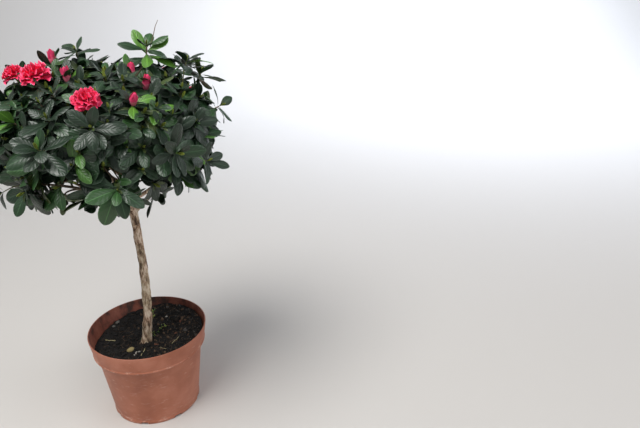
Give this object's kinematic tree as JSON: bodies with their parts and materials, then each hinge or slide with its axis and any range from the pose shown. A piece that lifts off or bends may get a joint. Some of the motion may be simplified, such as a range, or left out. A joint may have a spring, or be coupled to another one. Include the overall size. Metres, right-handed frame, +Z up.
{
  "type": "potted azalea shrub",
  "caption": "Azalea shrub grown on one bare woody stem, with a broad domed head of whorled evergreen leaves and double flowers, in a round plastic pot of soil.",
  "frame": {"origin": "centre of the pot's flat underside, on the surface that the plant stands on", "axes": "+Z up along the stem, +Y towards the plant's back as the picture sees it, +X to its right"},
  "size_m": [0.321, 0.2911, 0.554],
  "materials": {
    "pot_plastic": "dull, slightly scuffed",
    "potting_soil": "crumbly and rough",
    "bark": "rough, finely fissured bark",
    "foliage": "leathery with a soft gloss",
    "petals": "soft and velvety"
  },
  "bodies": {
    "root": {"pot": "pot_plastic", "soil": "potting_soil", "trunk": "bark", "bough_lower_1": "bark", "bough_lower_2": "bark", "bough_lower_3": "bark", "bough_lower_4": "bark", "bough_lower_5": "bark", "bough_lower_6": "bark", "bough_lower_7": "bark", "bough_upper_1": "bark", "bough_upper_2": "bark", "bough_upper_3": "bark", "bough_upper_4": "bark", "bough_upper_5": "bark", "foliage_lower_1": "foliage", "foliage_lower_2": "foliage", "foliage_lower_3": "foliage", "foliage_lower_4": "foliage", "foliage_lower_5": "foliage", "foliage_lower_6": "foliage", "foliage_lower_7": "foliage", "foliage_upper_1": "foliage", "foliage_upper_2": "foliage", "foliage_upper_3": "foliage", "foliage_upper_4": "foliage", "foliage_upper_5": "foliage", "foliage_top": "foliage"}
  },
  "joints": []
}
